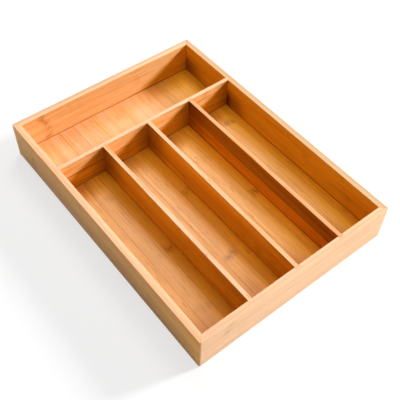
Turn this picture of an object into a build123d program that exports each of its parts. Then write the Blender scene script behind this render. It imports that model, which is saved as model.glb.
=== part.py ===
from build123d import *
import os

os.makedirs("parts", exist_ok=True)

# Bamboo cutlery tray: a mitred frame, a base of edge-glued staves held in a groove,
# one divider across the back and three long dividers in front of it.
# Millimetres. +X to the right, +Y to the back, +Z up.
# The origin is the middle of the footprint, on the surface that the tray stands on.

# Frame
tray_width = 260.0
tray_length = 355.0
tray_height = 50.0
wall_thickness = 8.0
corner_radius = 2.0
rim_easing = 0.8
foot_easing = 1.2

# Base, held in a groove that runs round the inside of the frame
base_recess = 4.0
base_thickness = 4.0
groove_depth = 3.0
groove_end_clearance = 0.3
groove_top_clearance = 0.1
stave_easing = 0.2

# Whole staves, and one cut down along each edge to a share of a whole one
whole_stave_count = 11
left_edge_stave_share = 0.22
right_edge_stave_share = 0.58

# Dividers, let into housings in the walls and in the cross divider
divider_thickness = 5.0
divider_easing = 0.5
back_compartment_depth = 81.0
wall_housing_depth = 3.0
cross_housing_depth = 1.5
housing_clearance = 0.1
long_divider_names = ["left_divider", "middle_divider", "right_divider"]

# How far a cutting shape runs past what it cuts
overrun = 5.0

# Places worked out from the sizes above
half_width = tray_width / 2
half_length = tray_length / 2
inner_half_width = half_width - wall_thickness
inner_half_length = half_length - wall_thickness
base_top = base_recess + base_thickness
cross_back_y = inner_half_length - back_compartment_depth
cross_front_y = cross_back_y - divider_thickness


def block(low, high):
    """A box between its lowest and its highest corner."""
    size = [top - bottom for bottom, top in zip(low, high)]
    middle = [(top + bottom) / 2 for bottom, top in zip(low, high)]
    return Pos(*middle) * Box(*size)


def long_divider_sides():
    """The left and right face of each long divider, which part four equal bays."""
    count = len(long_divider_names)
    bay = (2 * inner_half_width - count * divider_thickness) / (count + 1)
    lefts = [-inner_half_width + bay + i * (bay + divider_thickness) for i in range(count)]
    return [(left, left + divider_thickness) for left in lefts]


def make_frame_ring():
    """The four walls as one ring, rounded and grooved, before the mitres are cut."""
    ring = block((-half_width, -half_length, 0), (half_width, half_length, tray_height))
    ring -= block(
        (-inner_half_width, -inner_half_length, -overrun),
        (inner_half_width, inner_half_length, tray_height + overrun),
    )
    uprights = ring.edges().filter_by(Axis.Z)
    ring = fillet(uprights.filter_by(lambda edge: abs(edge.center().X) > inner_half_width), corner_radius)
    ring = fillet(ring.faces().sort_by(Axis.Z)[-1].edges(), rim_easing)
    ring = fillet(ring.faces().sort_by(Axis.Z)[0].edges(), foot_easing)
    groove_x = inner_half_width + groove_depth
    groove_y = inner_half_length + groove_depth
    groove_top = base_top + groove_top_clearance
    return ring - block((-groove_x, -groove_y, base_recess), (groove_x, groove_y, groove_top))


def make_housings():
    """What the dividers' ends take out of the walls, down to the base and open at the rim."""
    reach_x = inner_half_width + wall_housing_depth
    reach_y = inner_half_length + wall_housing_depth
    top = tray_height + overrun
    low = (-reach_x, cross_front_y - housing_clearance, base_top)
    high = (reach_x, cross_back_y + housing_clearance, top)
    housings = [block(low, high)]
    for left, right in long_divider_sides():
        low = (left - housing_clearance, -reach_y, base_top)
        high = (right + housing_clearance, cross_front_y, top)
        housings.append(block(low, high))
    return housings


def corners_of(half_x, half_y):
    """The corners of a rectangle about the origin, anticlockwise from the front left."""
    return [(-half_x, -half_y), (half_x, -half_y), (half_x, half_y), (-half_x, half_y)]


def make_walls():
    """The frame ring cut at its corners, each mitre running from outer to inner corner."""
    ring = make_frame_ring()
    for housing in make_housings():
        ring -= housing
    outer = corners_of(half_width + overrun, half_length + overrun)
    inner = corners_of(inner_half_width - overrun, inner_half_length - overrun)
    walls = {}
    for i, name in enumerate(["front_wall", "right_wall", "back_wall", "left_wall"]):
        following = (i + 1) % len(outer)
        outline = Polygon(outer[i], outer[following], inner[following], inner[i], align=None)
        wedge = extrude(Pos(0, 0, -overrun) * outline, tray_height + 2 * overrun)
        walls[name] = ring & wedge
    return walls


def make_base_staves():
    """Staves side by side, numbered from the left, the first and the last one narrower."""
    half_base_width = inner_half_width + groove_depth - groove_end_clearance
    half_base_length = inner_half_length + groove_depth - groove_end_clearance
    widths_across = whole_stave_count + left_edge_stave_share + right_edge_stave_share
    stave_width = 2 * half_base_width / widths_across
    first_seam = -half_base_width + left_edge_stave_share * stave_width
    seams = [first_seam + i * stave_width for i in range(whole_stave_count + 1)]
    edges = [-half_base_width, *seams, half_base_width]
    staves = {}
    for i, (left, right) in enumerate(zip(edges, edges[1:])):
        low = (left, -half_base_length, base_recess)
        high = (right, half_base_length, base_top)
        stave = block(low, high)
        long_top_edges = stave.faces().sort_by(Axis.Z)[-1].edges().filter_by(Axis.Y)
        staves[f"base_stave_{i + 1:02d}"] = chamfer(long_top_edges, stave_easing)
    return staves


def eased_board(low, high, run):
    """A divider's free span, with its two long top edges rounded."""
    board = block(low, high)
    return fillet(board.faces().sort_by(Axis.Z)[-1].edges().filter_by(run), divider_easing)


def make_cross_divider():
    """The divider between the back compartment and the long ones, housed in the side walls."""
    end_x = inner_half_width + wall_housing_depth - housing_clearance
    board = eased_board(
        (-inner_half_width, cross_front_y, base_top),
        (inner_half_width, cross_back_y, tray_height),
        Axis.X,
    )
    for near, far in [(-end_x, -inner_half_width), (inner_half_width, end_x)]:
        board += block((near, cross_front_y, base_top), (far, cross_back_y, tray_height))
    for left, right in long_divider_sides():
        low = (left - housing_clearance, cross_front_y - overrun, base_top - overrun)
        high = (right + housing_clearance, cross_front_y + cross_housing_depth, tray_height + overrun)
        board -= block(low, high)
    return board


def make_long_dividers():
    """The dividers from the front wall to the cross divider, housed in both."""
    front_end_y = -inner_half_length - wall_housing_depth + housing_clearance
    back_end_y = cross_front_y + cross_housing_depth - housing_clearance
    dividers = {}
    for name, (left, right) in zip(long_divider_names, long_divider_sides()):
        board = eased_board(
            (left, -inner_half_length, base_top),
            (right, cross_front_y, tray_height),
            Axis.Y,
        )
        for near, far in [(front_end_y, -inner_half_length), (cross_front_y, back_end_y)]:
            board += block((left, near, base_top), (right, far, tray_height))
        dividers[name] = board
    return dividers


parts = {
    **make_walls(),
    **make_base_staves(),
    "cross_divider": make_cross_divider(),
    **make_long_dividers(),
}

for name, piece in parts.items():
    export_step(piece, f"parts/{name}.step")
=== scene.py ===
import math
from collections import namedtuple

import bpy
from mathutils import Matrix, Vector


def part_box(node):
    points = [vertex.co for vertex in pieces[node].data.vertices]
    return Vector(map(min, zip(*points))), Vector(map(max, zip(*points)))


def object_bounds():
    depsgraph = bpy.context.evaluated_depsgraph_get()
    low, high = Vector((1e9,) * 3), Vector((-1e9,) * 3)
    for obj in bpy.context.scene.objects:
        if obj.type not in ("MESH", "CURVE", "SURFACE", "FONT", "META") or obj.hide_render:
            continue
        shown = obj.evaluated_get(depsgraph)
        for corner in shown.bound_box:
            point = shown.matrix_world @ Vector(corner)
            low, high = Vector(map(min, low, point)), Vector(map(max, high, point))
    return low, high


# The looks of a bamboo cutlery tray: oiled bamboo boards with straight grain, knuckle marks and
# glue lines, on a pale floor in soft studio light. Lengths are in metres, in the part's own frame:
# +X to the right, +Y to the back, +Z up, and the tray stands on z = 0.
mm = 0.001

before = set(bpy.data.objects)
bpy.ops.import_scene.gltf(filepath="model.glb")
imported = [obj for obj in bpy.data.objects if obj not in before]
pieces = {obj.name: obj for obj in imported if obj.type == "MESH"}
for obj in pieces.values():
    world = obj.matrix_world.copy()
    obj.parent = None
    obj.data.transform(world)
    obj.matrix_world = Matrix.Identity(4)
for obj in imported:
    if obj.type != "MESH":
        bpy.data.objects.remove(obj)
cad_low, cad_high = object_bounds()

# Sizes read from the model
tray_height = cad_high.z
outer_x = cad_high.x
outer_y = cad_high.y
wall_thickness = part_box("left_wall")[1].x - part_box("left_wall")[0].x
inner_x = outer_x - wall_thickness
inner_y = outer_y - wall_thickness
floor_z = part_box("base_stave_01")[1].z
cross_low, cross_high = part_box("cross_divider")
long_dividers = ["left_divider", "middle_divider", "right_divider"]
bay_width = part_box("left_divider")[0].x + inner_x
bay_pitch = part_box("left_divider")[1].x + inner_x

# Camera, fitted to the straight edges of the tray in the photograph
image_pixels = 400
focal_pixels = 675.5
camera_sensor = 36.0
camera_azimuth = math.radians(-40.19)
camera_elevation = math.radians(52.03)
camera_roll = math.radians(2.15)
camera_distance = 779.0 * mm
camera_near = 10 * mm
camera_shift_right = 9.07 * mm
camera_shift_up = -24.37 * mm

# Light. A lamp's level is how bright a white card facing it would look. The key light comes from the
# right and a little from the front, as it does in the photograph.
sky_level = 0.09
key_direction = (1.87, -0.62, 1.0)
key_distance = 3.0
key_size = 0.62
key_level = 1.75
sheen_direction = (0.35, 0.45, 0.80)
sheen_distance = 1.6
sheen_size = 0.62
sheen_level = 0.38
top_direction = (0.1, 0.0, 1.0)
top_distance = 1.6
top_size = 1.2
top_level = 0.3
white = (1.0, 1.0, 1.0, 1.0)

# The floor. Where it is seen it is lifted towards white: by a share near the tray, so that the shadow
# stays, and wholly from twice the shadow's reach.
stage_colour = (0.9, 0.9, 0.9, 1.0)
stage_size = 12.0
stage_whiteness = 0.7
stage_shadow_reach = 0.4

# Colours of the bamboo as linear light. Each kind of face runs from a pale to a deep tone. These tones
# hold painted light: the faces that look to the right, where the key light is, and the right wall's rim
# are painted darker, the back compartment's floor, in the key light and the sheen, is painted deeper than
# the long bays' floor, and the faces in shade are painted golden and deeper, as lit and shaded copies
# of one bamboo.
Tone = namedtuple("Tone", "pale deep")
pale_outside = Tone((0.93, 0.58, 0.34), (0.88, 0.52, 0.28))
left_outside = Tone((1.0, 0.50, 0.09), (0.86, 0.36, 0.04))
back_outside = Tone((0.86, 0.48, 0.21), (0.79, 0.41, 0.16))
right_outside = Tone((0.56, 0.30, 0.17), (0.51, 0.265, 0.14))
wall_inside = Tone((0.89, 0.50, 0.215), (0.80, 0.39, 0.125))
lit_inside = Tone((0.72, 0.37, 0.17), (0.65, 0.31, 0.12))
cross_face = Tone((0.95, 0.51, 0.22), (0.87, 0.42, 0.14))
right_inside = Tone((0.96, 0.50, 0.03), (0.86, 0.39, 0.01))
divider_face = Tone((0.84, 0.42, 0.02), (0.66, 0.27, 0.01))
russet_face = Tone((0.85, 0.34, 0.01), (0.63, 0.21, 0.0))
shade_golden_face = Tone((0.92, 0.46, 0.03), (0.82, 0.37, 0.01))
back_floor = Tone((0.82, 0.38, 0.18), (0.76, 0.325, 0.12))
bay_floor = Tone((0.91, 0.49, 0.12), (0.83, 0.40, 0.07))
shade_golden_floor = Tone((0.97, 0.47, 0.03), (0.90, 0.40, 0.01))
pale_ply = Tone((0.93, 0.52, 0.32), (0.88, 0.46, 0.26))
front_ply = Tone((0.80, 0.48, 0.29), (0.74, 0.43, 0.25))
left_ply = Tone((0.90, 0.50, 0.29), (0.84, 0.44, 0.23))
back_ply = Tone((0.66, 0.42, 0.25), (0.60, 0.38, 0.21))
right_ply = Tone((0.57, 0.37, 0.22), (0.53, 0.34, 0.18))
right_inner_ply = Tone((0.76, 0.41, 0.21), (0.70, 0.36, 0.17))
russet_ply = Tone((0.84, 0.38, 0.19), (0.76, 0.33, 0.15))
vein_colour = (0.60, 0.24, 0.01)
# Flecks in the grain; the same colour paints the shade at the long bays' ends
fleck_and_end_shade_colour = (0.45, 0.15, 0.0)
knuckle_colour = (0.40, 0.13, 0.0)
# Painted shade in corners and at the ends of bays
painted_shade_colour = (0.12, 0.02, 0.0)
# Glue lines and dark joints; the same colour paints the contact shade above the floor
glue_and_crease_shade_colour = (0.22, 0.07, 0.015)
# The paler streaks along the upper edges
pale_edge_colour = (0.95, 0.62, 0.38)

# The satin oil: less of a sheen on the walls and dividers than on the tray's floor
board_gloss = 0.06
floor_gloss = 0.3
roughness_valley = 0.38
roughness_ridge = 0.3
bump_strength = 0.5
bump_depth = 0.06 * mm

# Grain: how wide each kind of streak is, how many times longer than wide, how finely broken, and
# the levels of its noise at which it starts to show and shows in full
Streak = namedtuple("Streak", "width stretch detail start full")
band_streak = Streak(7 * mm, 30, 3.0, 0.3, 0.7)
cluster_streak = Streak(14 * mm, 9, 1.0, 0.35, 0.65)
vein_streak = Streak(2.4 * mm, 45, 3.0, 0.45, 0.7)
thread_streak = Streak(1.1 * mm, 60, 2.0, 0.52, 0.68)
fleck_streak = Streak(1.1 * mm, 14, 1.0, 0.62, 0.78)
fibre_streak = Streak(0.7 * mm, 50, 3.0, 0.2, 0.8)
pale_edge_streak = Streak(2.4 * mm, 14, 2.0, 0.4, 0.65)
streak_roughness = 0.55

# How strongly the grain shows, from 0 to 1, how much the fibres darken and brighten it, and the share
# of the veins that is left between their clusters
outside_contrast = 0.16
left_contrast = 0.28
inside_contrast = 0.42
right_inside_contrast = 0.6
divider_contrast = 0.9
floor_contrast = 0.8
golden_contrast = 0.55
fibre_contrast = 0.09
sparse_share = 0.1

# Knuckles: the mottled marks that cross a strip where the cane had a joint
knuckle_half_length = 9 * mm
knuckle_edge = 1 * mm
knuckle_bend = 0.2
bend_streak = Streak(16 * mm, 100, 1.0, 0.3, 0.7)
blotch_streak = Streak(9 * mm, 1, 1.0, 0.3, 0.6)
dash_streak = Streak(1.3 * mm, 6, 1.0, 0.42, 0.6)
faintest_blotch = 0.5
faintest_dash = 0.4

# Painted shade: where the tray's floor is painted golden, as the shade of what stands at its right: how
# far from the right of its compartment it starts to turn and has turned. The golden part of a long bay
# is narrowest at one place. From 30 to 130 mm away from that place, to the front or the back, it widens
# by 9 mm.
back_floor_turn = (98 * mm, 12 * mm)
bay_floor_turn = (29 * mm, 2 * mm)
bay_narrow_y = -45 * mm
bay_widening = (30 * mm, 130 * mm, 0.0, 9 * mm)

# How far the key light's shade reaches across for its height, and how softly a face turns golden in it
shade_slope = key_direction[0] / key_direction[2]
shade_blur = 7 * mm

# Painted light: the heights between which a wall's inside or a divider's near face is painted brighter,
# by its own factor, towards the top
painted_top_light_heights = (28 * mm, 44 * mm)

# Glue lines, dark lines where boards meet with painted contact shade above the floor, rounded edges,
# upper edges paler in streaks, and how strongly each shows
seam_half_width = 0.22 * mm
divider_seam_half_width = 0.44 * mm
mitre_half_width = 0.2 * mm
housing_half_width = 0.25 * mm
housing_depth = 3.2 * mm
blend = 0.2 * mm
ply_blend = 0.4 * mm
edge_blend = 0.6 * mm
crease_shade_height = 2.4 * mm
corner_radius = 2 * mm
rim_easing = 0.8 * mm
divider_easing = 0.5 * mm
pale_edge_depth = 1.5 * mm
seam_share = 0.25
divider_seam_share = 0.45
ply_share = 0.15
mitre_share = 0.55
housing_share = 0.5
crease_shade_share = 0.75
glue_share = 0.3
pale_edge_share = 0.4

# A knuckle in one strip of a board, at a place along the grain, and how dark it is from 0 to 1
Knuckle = namedtuple("Knuckle", "strip along strength")

# Painted shade: a darkening that grows along the grain towards each place, over the reach before it, or
# beyond it where the reach is below 0. On a wall it also grows downwards, from the first height to the
# second.
Stain = namedtuple("Stain", "places reach share")
painted_shade_rise = (42 * mm, 20 * mm)

# Painted shade at the ends of the long bays' floor, next to the front wall and the cross divider, and the
# share of it that is left in the golden parts
floor_end_shades = [Stain([-inner_y], -60 * mm, 0.9), Stain([cross_low.y], 30 * mm, 0.5)]
golden_end_shade_share = 0.35

# A wall: the tones of its faces and how strongly the grain shows on them, outside first, the plies of
# its rim, outer first, the seams between its strips, how bright each strip is and how much brighter
# its inside is painted towards the top as painted light, its knuckles, the places where dividers are
# housed, and its painted shade. The seed moves the grain, so that no two boards are alike.
Wall = namedtuple(
    "Wall", "name grain outside inside contrasts plies seams tones lift marks housings stains seed"
)

# A divider, described in the same way. The far face is its right or back one.
Divider = namedtuple("Divider", "name grain face far_face rim seam tones lift marks stains seed")


# Where the Mix node has its two colours and its result
mix_colour_inputs = (6, 7)
mix_colour_output = 2


class Nodes:
    """One material's nodes. Each call adds a node and gives back the socket with its result."""

    def __init__(self, name):
        self.material = bpy.data.materials.new(name)
        self.material.use_nodes = True
        self.tree = self.material.node_tree
        self.tree.nodes.clear()

    def add(self, kind, inputs, **settings):
        node = self.tree.nodes.new(kind)
        for key, value in settings.items():
            setattr(node, key, value)
        for key, value in inputs.items():
            if isinstance(value, bpy.types.NodeSocket):
                self.tree.links.new(value, node.inputs[key])
            else:
                node.inputs[key].default_value = value
        return node

    def math(self, operation, a, b=0.0):
        return self.add("ShaderNodeMath", {0: a, 1: b}, operation=operation).outputs[0]

    def times(self, *values):
        """The product of several values."""
        result = values[0]
        for value in values[1:]:
            result = self.math("MULTIPLY", result, value)
        return result

    def most(self, *values):
        """The greatest of several values."""
        result = values[0]
        for value in values[1:]:
            result = self.math("MAXIMUM", result, value)
        return result

    def less(self, a, b):
        return self.math("SUBTRACT", a, b)

    def away(self, value, place):
        """How far the value is from a place."""
        return self.math("ABSOLUTE", self.less(value, place))

    def step(self, value, start, end, low=0.0, high=1.0):
        """Smoothly from low to high as the value goes from start to end."""
        inputs = {"Value": value, "From Min": start, "From Max": end, "To Min": low, "To Max": high}
        return self.add("ShaderNodeMapRange", inputs, interpolation_type="SMOOTHSTEP").outputs[0]

    def choose(self, share, a, b):
        """The first value where the share is 0, the second where it is 1."""
        return self.math("ADD", a, self.times(share, self.less(b, a)))

    def mix(self, share, a, b, blend_type="MIX"):
        """The first colour where the share is 0, the second or their blend where it is 1."""
        inputs = {0: share}
        for key, colour in zip(mix_colour_inputs, (a, b)):
            inputs[key] = colour if isinstance(colour, bpy.types.NodeSocket) else (*colour, 1.0)
        node = self.add("ShaderNodeMix", inputs, data_type="RGBA", blend_type=blend_type)
        return node.outputs[mix_colour_output]

    def mix_tones(self, share, a, b):
        """The first tone where the share is 0, the second where it is 1."""
        return Tone(self.mix(share, a.pale, b.pale), self.mix(share, a.deep, b.deep))

    def dim(self, colour, factor):
        """The colour times a factor."""
        return self.mix(1.0, colour, self.vector(factor, factor, factor), "MULTIPLY")

    def vector(self, x, y, z):
        return self.add("ShaderNodeCombineXYZ", {0: x, 1: y, 2: z}).outputs[0]

    def noise(self, vector, width, detail):
        inputs = {"Vector": vector, "Scale": 1 / width, "Detail": detail, "Roughness": streak_roughness}
        return self.add("ShaderNodeTexNoise", inputs).outputs["Fac"]

    def position(self):
        coordinates = self.add("ShaderNodeTexCoord", {}).outputs["Object"]
        return self.add("ShaderNodeSeparateXYZ", {0: coordinates}).outputs[:3]


class Board:
    """One board's nodes: which way its grain runs, and the edges of the strips it is glued from."""

    def __init__(self, name, grain, across, edges, seed):
        self.nodes = Nodes(f"{name}_bamboo")
        self.x, self.y, self.z = self.nodes.position()
        self.along, self.aside = (self.x, self.y) if grain == "X" else (self.y, self.x)
        self.across = self.z if across == "Z" else self.x
        self.edges = edges
        self.seed = seed
        self.fibres = self.streaks(fibre_streak)

    def streaks(self, streak):
        """A noise drawn out along the grain, from 0 where it doesn't show to 1."""
        nodes = self.nodes
        along = nodes.math("ADD", nodes.math("DIVIDE", self.along, streak.stretch), self.seed)
        noise = nodes.noise(nodes.vector(along, self.aside, self.z), streak.width, streak.detail)
        return nodes.step(noise, streak.start, streak.full)

    def grain(self, tone, contrast):
        """Bands from deep to pale, clusters of darker veins, sparse dark flecks and fine fibres."""
        nodes = self.nodes
        colour = nodes.mix(self.streaks(band_streak), tone.deep, tone.pale)
        veins = nodes.most(self.streaks(vein_streak), self.streaks(thread_streak))
        clusters = nodes.most(self.streaks(cluster_streak), sparse_share)
        colour = nodes.mix(nodes.times(veins, clusters, contrast), colour, vein_colour)
        colour = nodes.mix(nodes.times(self.streaks(fleck_streak), contrast), colour, fleck_and_end_shade_colour)
        return nodes.dim(colour, nodes.step(self.fibres, 0.0, 1.0, 1 - fibre_contrast, 1 + fibre_contrast))

    def strip_tones(self, tones):
        """How bright each strip is, as a factor that changes at the seams."""
        nodes = self.nodes
        factor = tones[0]
        for seam, before, after in zip(self.edges[1:], tones, tones[1:]):
            start, end = seam - seam_half_width, seam + seam_half_width
            change = nodes.step(self.across, start, end, 0.0, after - before)
            factor = nodes.math("ADD", change, factor)
        return factor

    def knuckles(self, marks):
        """Short dark dashes over a soft smear across the strip, where the cane had a joint."""
        nodes = self.nodes
        bend = nodes.step(self.streaks(bend_streak), 0.0, 1.0, -knuckle_bend, knuckle_bend)
        blotches = nodes.most(self.streaks(blotch_streak), faintest_blotch)
        dashes = nodes.times(nodes.most(self.streaks(dash_streak), faintest_dash), blotches)
        total = 0.0
        for mark in marks:
            away = nodes.math("DIVIDE", nodes.less(self.along, mark.along), knuckle_half_length)
            away = nodes.math("ABSOLUTE", nodes.math("ADD", away, bend))
            near = nodes.step(away, 1.0, 0.0)
            low, high = self.edges[mark.strip], self.edges[mark.strip + 1]
            past_low = nodes.step(self.across, low, low + knuckle_edge)
            under_high = nodes.step(self.across, high, high - knuckle_edge)
            knuckle = nodes.times(near, dashes, past_low, under_high, mark.strength)
            total = nodes.math("ADD", knuckle, total)
        return nodes.math("MINIMUM", total, 1.0)

    def stain(self, stains):
        """How dark the painted shade makes the board, from 0 to 1."""
        nodes = self.nodes
        darkest = 0.0
        for stain in stains:
            past = math.copysign(blend, stain.reach)
            for place in stain.places:
                rise = nodes.step(self.along, place - stain.reach, place, 0.0, stain.share)
                not_past = nodes.step(self.along, place + past, place)
                darkest = nodes.most(darkest, nodes.times(rise, not_past))
        return darkest

    def in_bay(self):
        """1 in the long bays and 0 in the back compartment."""
        return self.nodes.step(self.y, cross_high.y, cross_low.y)

    def to_right(self):
        """How far it is to the right-hand side of the back compartment, and of the long bay."""
        nodes = self.nodes
        from_left = nodes.math("ADD", self.x, inner_x)
        across_bay = nodes.math("FRACT", nodes.math("DIVIDE", from_left, bay_pitch))
        return nodes.less(inner_x, self.x), nodes.less(bay_width, nodes.times(across_bay, bay_pitch))

    def golden_shade_share(self):
        """How far the floor is painted golden as shade, from 0 at the left of each compartment to 1 at the
        right.
        """
        nodes = self.nodes
        to_back_side, to_bay_side = self.to_right()
        to_bay_side = nodes.less(to_bay_side, nodes.step(nodes.away(self.y, bay_narrow_y), *bay_widening))
        in_back = nodes.step(to_back_side, *back_floor_turn)
        in_long = nodes.step(to_bay_side, *bay_floor_turn)
        return nodes.choose(self.in_bay(), in_back, in_long)

    def golden_in_shade(self, tone):
        """An upright face's tone, golden where what stands to its right shades it from the key light."""
        nodes = self.nodes
        to_back_side, to_bay_side = self.to_right()
        to_side = nodes.choose(self.in_bay(), to_back_side, to_bay_side)
        light_edge = nodes.less(tray_height, nodes.math("DIVIDE", to_side, shade_slope))
        shade = nodes.step(nodes.less(light_edge, self.z), -shade_blur, shade_blur)
        return nodes.mix_tones(shade, tone, shade_golden_face)

    def lines(self, value, places, half_width):
        """Thin lines where the value is at one of the places: how dark, from 0 to 1."""
        nodes = self.nodes
        darkest = 0.0
        for place in places:
            line = nodes.step(nodes.away(value, place), half_width + blend / 2, half_width - blend / 2)
            darkest = nodes.most(darkest, line)
        return darkest

    def finish(self, colour, dark, gloss):
        """The satin oiled surface: the fibres stand out a little in it, and the dark lines lie deeper."""
        nodes = self.nodes
        colour = nodes.mix(dark, colour, glue_and_crease_shade_colour)
        height = nodes.less(self.fibres, dark)
        bump = nodes.add(
            "ShaderNodeBump", {"Height": height, "Strength": bump_strength, "Distance": bump_depth}
        ).outputs[0]
        shader = nodes.add(
            "ShaderNodeBsdfPrincipled",
            {
                "Base Color": colour,
                "Roughness": nodes.step(self.fibres, 0.0, 1.0, roughness_valley, roughness_ridge),
                "Normal": bump,
                "Specular IOR Level": gloss,
            },
        )
        nodes.add("ShaderNodeOutputMaterial", {"Surface": shader.outputs[0]})
        return nodes.material


class WallBoard(Board):
    """A wall's nodes: how deep it is from its outer faces, and where its inside and its rim are."""

    def __init__(self, wall):
        super().__init__(wall.name, wall.grain, "Z", [0.0, *wall.seams, tray_height], wall.seed)
        nodes = self.nodes
        self.wall = wall
        self.depth_x = nodes.less(outer_x, nodes.math("ABSOLUTE", self.x))
        self.depth_y = nodes.less(outer_y, nodes.math("ABSOLUTE", self.y))
        self.depth = self.depth_y if wall.grain == "X" else self.depth_x
        self.is_inside = nodes.step(self.depth, wall_thickness - rim_easing, wall_thickness - blend / 2)
        self.on_rim = nodes.step(self.z, tray_height - rim_easing, tray_height - blend / 2)

    def tone(self):
        """The tones of its two faces, of its rim of two plies and of its rounded outer edges."""
        nodes = self.nodes
        wall = self.wall
        middle = wall_thickness / 2
        rim = nodes.mix_tones(nodes.step(self.depth, middle - ply_blend, middle + ply_blend), *wall.plies)
        # Painted highlight on the rounded outer edges, which take the pale outside tone, and near the
        # right end the right face's tone, painted darker where the key light falls
        at_right = nodes.step(self.x, outer_x - corner_radius, outer_x)
        edges = nodes.mix_tones(at_right, pale_outside, right_outside)
        outside = nodes.mix_tones(nodes.step(self.depth, blend / 2, edge_blend), wall.outside, edges)
        inside = self.golden_in_shade(wall.inside) if wall.grain == "X" else wall.inside
        return nodes.mix_tones(self.on_rim, nodes.mix_tones(self.is_inside, outside, inside), rim)

    def paler_upper_edges(self, colour):
        """The colour, paler in streaks along both upper edges."""
        nodes = self.nodes
        middle = wall_thickness / 2
        at_edge = nodes.step(nodes.away(self.depth, middle), middle - rim_easing, middle - blend)
        at_top = nodes.step(self.z, tray_height - pale_edge_depth, tray_height - rim_easing)
        paled = nodes.times(at_edge, at_top, self.streaks(pale_edge_streak), pale_edge_share)
        return nodes.mix(paled, colour, pale_edge_colour)

    def dark_lines(self):
        """How dark its lines are: between strips and plies, at mitres and housings, and painted shade
        above the floor.
        """
        nodes = self.nodes
        strips = nodes.times(self.lines(self.z, self.wall.seams, seam_half_width), seam_share)
        between_plies = self.lines(self.depth, [wall_thickness / 2], seam_half_width)
        plies = nodes.times(between_plies, self.on_rim, ply_share)
        at_mitre = self.lines(nodes.less(self.depth_x, self.depth_y), [0.0], mitre_half_width)
        mitre = nodes.times(at_mitre, mitre_share)
        at_housing = self.lines(self.along, self.wall.housings, housing_half_width)
        housing_end = wall_thickness - housing_depth
        in_housing = nodes.step(self.depth, housing_end - blend, housing_end)
        housed = nodes.times(at_housing, in_housing, housing_share)
        # Painted contact shade above the floor, over a dark line where the wall meets it
        at_floor = nodes.step(self.z, floor_z + crease_shade_height, floor_z + blend)
        crease_shade = nodes.times(at_floor, self.is_inside, crease_shade_share)
        return nodes.most(strips, plies, mitre, housed, crease_shade)


def wall_material(wall):
    """A wall: two faces and a rim, glued from strips, with knuckles, painted shade, painted light towards
    the top of its inside, and paler upper edges.
    """
    board = WallBoard(wall)
    nodes = board.nodes
    contrast = nodes.step(board.is_inside, 0.0, 1.0, *wall.contrasts)
    colour = board.grain(board.tone(), contrast)
    # Painted light: the inside is painted brighter towards the top
    lift = nodes.choose(board.is_inside, 1.0, nodes.step(board.z, *painted_top_light_heights, 1.0, wall.lift))
    faces = nodes.dim(colour, nodes.times(board.strip_tones(wall.tones), lift))
    colour = nodes.mix(board.on_rim, faces, colour)
    colour = nodes.mix(board.knuckles(wall.marks), colour, knuckle_colour)
    # Painted shade on the inside, low down and towards its corners
    low_down = nodes.step(board.z, *painted_shade_rise)
    stain = nodes.times(board.stain(wall.stains), board.is_inside, low_down)
    colour = nodes.mix(stain, colour, painted_shade_colour)
    return board.finish(board.paler_upper_edges(colour), board.dark_lines(), board_gloss)


def divider_material(divider):
    """A divider: two faces and a paler top edge. Its near face has painted shade towards its corners and
    painted light towards its top.
    """
    board = Board(divider.name, divider.grain, "Z", [floor_z, divider.seam, tray_height], divider.seed)
    nodes = board.nodes
    on_rim = nodes.step(board.z, tray_height - divider_easing, tray_height - blend / 2)
    low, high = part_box(divider.name)
    middle = (low.y + high.y) / 2 if divider.grain == "X" else (low.x + high.x) / 2
    is_far = nodes.step(board.aside, middle - blend, middle + blend)
    face = board.golden_in_shade(divider.face) if divider.grain == "X" else divider.face
    face = nodes.mix_tones(is_far, face, divider.far_face)
    colour = board.grain(nodes.mix_tones(on_rim, face, divider.rim), divider_contrast)
    # Painted light: the near face is painted brighter towards the top
    lift = nodes.choose(is_far, nodes.step(board.z, *painted_top_light_heights, 1.0, divider.lift), 1.0)
    side = nodes.dim(colour, nodes.times(board.strip_tones(divider.tones), lift))
    side = nodes.mix(board.knuckles(divider.marks), side, knuckle_colour)
    # Painted shade on the near face, towards its corners
    side = nodes.mix(nodes.times(board.stain(divider.stains), nodes.less(1.0, is_far)), side, painted_shade_colour)
    colour = nodes.mix(on_rim, side, colour)
    at_seam = board.lines(board.z, [divider.seam], divider_seam_half_width)
    strips = nodes.times(at_seam, divider_seam_share)
    # Painted contact shade above the floor
    crease_shade = nodes.step(board.z, floor_z + crease_shade_height, floor_z + blend, 0.0, crease_shade_share)
    return board.finish(colour, nodes.most(strips, crease_shade), board_gloss)


def stave_material(name, tone_factor, marks, seed):
    """A stave: golden at the right of each compartment and dark at the long bays' ends, both painted
    shade, and dark at its seams.
    """
    low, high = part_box(name)
    board = Board(name, "Y", "X", [low.x, high.x], seed)
    nodes = board.nodes
    # Painted shade: the floor turns golden towards the right of each compartment
    golden = board.golden_shade_share()
    tone = nodes.mix_tones(golden, nodes.mix_tones(board.in_bay(), back_floor, bay_floor), shade_golden_floor)
    contrast = nodes.step(golden, 0.0, 1.0, floor_contrast, golden_contrast)
    colour = nodes.dim(board.grain(tone, contrast), tone_factor)
    colour = nodes.mix(board.knuckles(marks), colour, knuckle_colour)
    # Painted shade at the long bays' ends, with less of it in the golden parts
    end_shade_left = nodes.step(golden, 0.0, 1.0, 1.0, golden_end_shade_share)
    at_ends = nodes.times(board.stain(floor_end_shades), end_shade_left)
    colour = nodes.mix(at_ends, colour, fleck_and_end_shade_colour)
    glue = nodes.times(board.lines(board.x, [low.x, high.x], seam_half_width), glue_share)
    return board.finish(colour, glue, floor_gloss)


def paint(name, material):
    for slot in pieces[name].material_slots:
        slot.material = material


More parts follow.
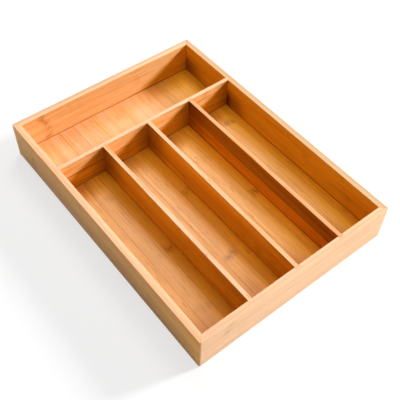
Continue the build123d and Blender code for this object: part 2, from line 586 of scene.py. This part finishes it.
def paint_walls():
    long_edges = [edge for name in long_dividers for edge in (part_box(name)[0].x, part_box(name)[1].x)]
    cross_edges = [cross_low.y, cross_high.y]
    back_corners = [cross_low.y, inner_y]
    # Painted shade low in the right wall's back corners
    right_corner_shades = [Stain(back_corners, 50 * mm, 0.7), Stain([cross_low.y], 20 * mm, 1.0)]
    walls = [
        Wall(
            name="front_wall", grain="X", outside=pale_outside, inside=wall_inside,
            contrasts=(outside_contrast, inside_contrast), plies=(front_ply, pale_ply),
            seams=[9 * mm, 30 * mm], tones=[0.98, 1.0, 1.01], lift=1.0,
            marks=[Knuckle(2, -95 * mm, 0.3), Knuckle(1, -75 * mm, 0.2), Knuckle(2, 96 * mm, 0.25)],
            housings=long_edges, stains=[], seed=1.0,
        ),
        Wall(
            name="back_wall", grain="X", outside=back_outside, inside=wall_inside,
            contrasts=(outside_contrast, inside_contrast), plies=(back_ply, pale_ply),
            seams=[22 * mm, 40 * mm], tones=[0.97, 1.0, 1.02], lift=1.0,
            marks=[
                Knuckle(2, -95 * mm, 1.0), Knuckle(1, -93 * mm, 1.0),
                Knuckle(0, -92 * mm, 0.6), Knuckle(1, 40 * mm, 0.3),
            ],
            housings=[], stains=[], seed=2.0,
        ),
        Wall(
            name="left_wall", grain="Y", outside=left_outside, inside=lit_inside,
            contrasts=(left_contrast, inside_contrast), plies=(left_ply, pale_ply),
            seams=[9 * mm, 30 * mm], tones=[1.0, 0.96, 1.04], lift=1.0,
            marks=[Knuckle(1, 137 * mm, 0.9), Knuckle(2, 30 * mm, 0.3), Knuckle(1, -96 * mm, 0.35)],
            housings=cross_edges, stains=[], seed=3.0,
        ),
        Wall(
            name="right_wall", grain="Y", outside=right_outside, inside=right_inside,
            contrasts=(outside_contrast, right_inside_contrast), plies=(right_ply, right_inner_ply),
            seams=[9 * mm, 30 * mm], tones=[0.95, 0.93, 1.04], lift=1.18,
            marks=[Knuckle(1, 60 * mm, 0.4), Knuckle(2, -60 * mm, 0.3), Knuckle(1, -130 * mm, 0.3)],
            housings=cross_edges, stains=right_corner_shades, seed=4.0,
        ),
    ]
    for wall in walls:
        paint(wall.name, wall_material(wall))


def paint_dividers():
    bay_ends = [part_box(name)[0].x for name in long_dividers] + [inner_x]
    # Painted shade towards the ends of the long dividers' near faces
    end_shades = [Stain([cross_low.y], 50 * mm, 0.6), Stain([-inner_y], -150 * mm, 0.2)]
    dividers = [
        Divider(
            name="cross_divider", grain="X", face=cross_face, far_face=wall_inside, rim=pale_ply,
            seam=30 * mm, tones=[0.98, 1.04], lift=1.0,
            marks=[Knuckle(0, -32 * mm, 0.4), Knuckle(1, 88 * mm, 0.4)],
            # Painted shade in the cross divider's face at the right of each bay
            stains=[Stain(bay_ends, 28 * mm, 0.45)], seed=5.0,
        ),
        Divider(
            name="left_divider", grain="Y", face=divider_face, far_face=lit_inside, rim=pale_ply,
            seam=28 * mm, tones=[0.97, 1.0], lift=1.18,
            marks=[Knuckle(1, 68 * mm, 0.4), Knuckle(0, -70 * mm, 0.4)],
            stains=end_shades, seed=6.0,
        ),
        Divider(
            name="middle_divider", grain="Y", face=divider_face, far_face=lit_inside, rim=pale_ply,
            seam=28 * mm, tones=[0.95, 1.1], lift=1.25,
            marks=[Knuckle(1, 60 * mm, 0.4), Knuckle(0, -120 * mm, 0.5)],
            stains=end_shades, seed=7.0,
        ),
        Divider(
            name="right_divider", grain="Y", face=russet_face, far_face=lit_inside, rim=russet_ply,
            seam=28 * mm, tones=[0.94, 0.54], lift=1.15,
            marks=[Knuckle(0, 58 * mm, 0.6), Knuckle(1, -20 * mm, 0.4)],
            stains=end_shades, seed=8.0,
        ),
    ]
    for divider in dividers:
        paint(divider.name, divider_material(divider))


def paint_staves():
    """The staves from left to right: how bright each is, and where its knuckles lie and how dark."""
    tones = [0.97, 1.0, 0.95, 0.92, 0.98, 1.02, 1.05, 1.04, 1.05, 1.1, 1.02, 1.0, 1.08]
    marks = {
        2: [(-9, 0.3)],
        3: [(44, 0.4), (-133, 0.4)],
        4: [(-52, 1.0)],
        5: [(104, 0.3)],
        6: [(55, 0.3), (-100, 0.7)],
        7: [(0, 0.9), (146, 0.3)],
        8: [(104, 0.3)],
        9: [(28, 0.3), (-156, 0.4)],
        10: [(-50, 0.9)],
        11: [(60, 0.5)],
        12: [(56, 0.8)],
        13: [(-132, 0.4)],
    }
    first_seed = 11.0
    for number, tone in enumerate(tones, 1):
        name = f"base_stave_{number:02d}"
        knuckles = [Knuckle(0, y * mm, strength) for y, strength in marks.get(number, [])]
        paint(name, stave_material(name, tone, knuckles, first_seed + number - 1))


def seen(nodes):
    """1 for a ray that shows the background: straight to the camera, mirrored or through glass."""
    path = nodes.add("ShaderNodeLightPath", {}).outputs
    return nodes.most(path["Is Camera Ray"], path["Is Glossy Ray"], path["Is Transmission Ray"])


def make_floor():
    """The plain pale floor that the tray stands on, lifted towards white where it is seen."""
    half = stage_size / 2
    mesh = bpy.data.meshes.new("stage_floor")
    corners = [(-half, -half, 0), (half, -half, 0), (half, half, 0), (-half, half, 0)]
    mesh.from_pydata(corners, [], [(0, 1, 2, 3)])
    floor = bpy.data.objects.new("stage_floor", mesh)
    bpy.context.scene.collection.objects.link(floor)
    nodes = Nodes("stage_floor")
    matt = nodes.add("ShaderNodeBsdfDiffuse", {"Color": stage_colour}).outputs[0]
    glow = nodes.add("ShaderNodeEmission", {"Color": white, "Strength": 1.0}).outputs[0]
    x, y, _ = nodes.position()
    away = nodes.math("SQRT", nodes.math("ADD", nodes.times(x, x), nodes.times(y, y)))
    whiteness = nodes.step(away, stage_shadow_reach, 2 * stage_shadow_reach, stage_whiteness, 1.0)
    share = nodes.times(seen(nodes), whiteness)
    surface = nodes.add("ShaderNodeMixShader", {0: share, 1: matt, 2: glow}).outputs[0]
    nodes.add("ShaderNodeOutputMaterial", {"Surface": surface})
    mesh.materials.append(nodes.material)


class WorldNodes(Nodes):
    """The nodes of the scene's world."""

    def __init__(self, name):
        world = bpy.data.worlds.new(name)
        bpy.context.scene.world = world
        world.use_nodes = True
        self.tree = world.node_tree
        self.tree.nodes.clear()


def make_sky():
    """A white background where it is seen, and a dimmer even light on the tray."""
    nodes = WorldNodes("studio")
    level = nodes.step(seen(nodes), 0.0, 1.0, sky_level, 1.0)
    background = nodes.add("ShaderNodeBackground", {"Color": white, "Strength": level}).outputs[0]
    nodes.add("ShaderNodeOutputWorld", {"Surface": background})


def make_lamp(name, direction, distance, size, level):
    """A round soft lamp that faces the tray from this direction."""
    lamp = bpy.data.lights.new(name, "AREA")
    lamp.shape = "DISK"
    lamp.size = size
    lamp.energy = level * math.pi**2 * distance**2
    holder = bpy.data.objects.new(name, lamp)
    towards = Vector(direction).normalized()
    holder.location = towards * distance
    holder.rotation_mode = "QUATERNION"
    holder.rotation_quaternion = (-towards).to_track_quat("-Z", "Y")
    bpy.context.scene.collection.objects.link(holder)


def make_camera():
    """The photograph's camera, aimed from the middle of the tray."""
    flat = math.cos(camera_elevation)
    back = Vector((
        math.sin(camera_azimuth) * flat,
        -math.cos(camera_azimuth) * flat,
        math.sin(camera_elevation),
    ))
    level_right = Vector((math.cos(camera_azimuth), math.sin(camera_azimuth), 0))
    level_up = back.cross(level_right)
    right = math.cos(camera_roll) * level_right + math.sin(camera_roll) * level_up
    up = back.cross(right)
    place = Vector((0, 0, tray_height / 2)) + camera_distance * back
    place += camera_shift_right * right + camera_shift_up * up
    lens = bpy.data.cameras.new("camera")
    lens.sensor_width = camera_sensor
    lens.lens = focal_pixels * camera_sensor / image_pixels
    lens.clip_start = camera_near
    camera = bpy.data.objects.new("camera", lens)
    camera.matrix_world = Matrix.Translation(place) @ Matrix((right, up, back)).transposed().to_4x4()
    bpy.context.scene.collection.objects.link(camera)
    bpy.context.scene.camera = camera


paint_walls()
paint_dividers()
paint_staves()
make_floor()
make_sky()
make_lamp("key_light", key_direction, key_distance, key_size, key_level)
make_lamp("sheen_light", sheen_direction, sheen_distance, sheen_size, sheen_level)
make_lamp("top_light", top_direction, top_distance, top_size, top_level)
make_camera()
bpy.context.scene.view_settings.view_transform = "Standard"
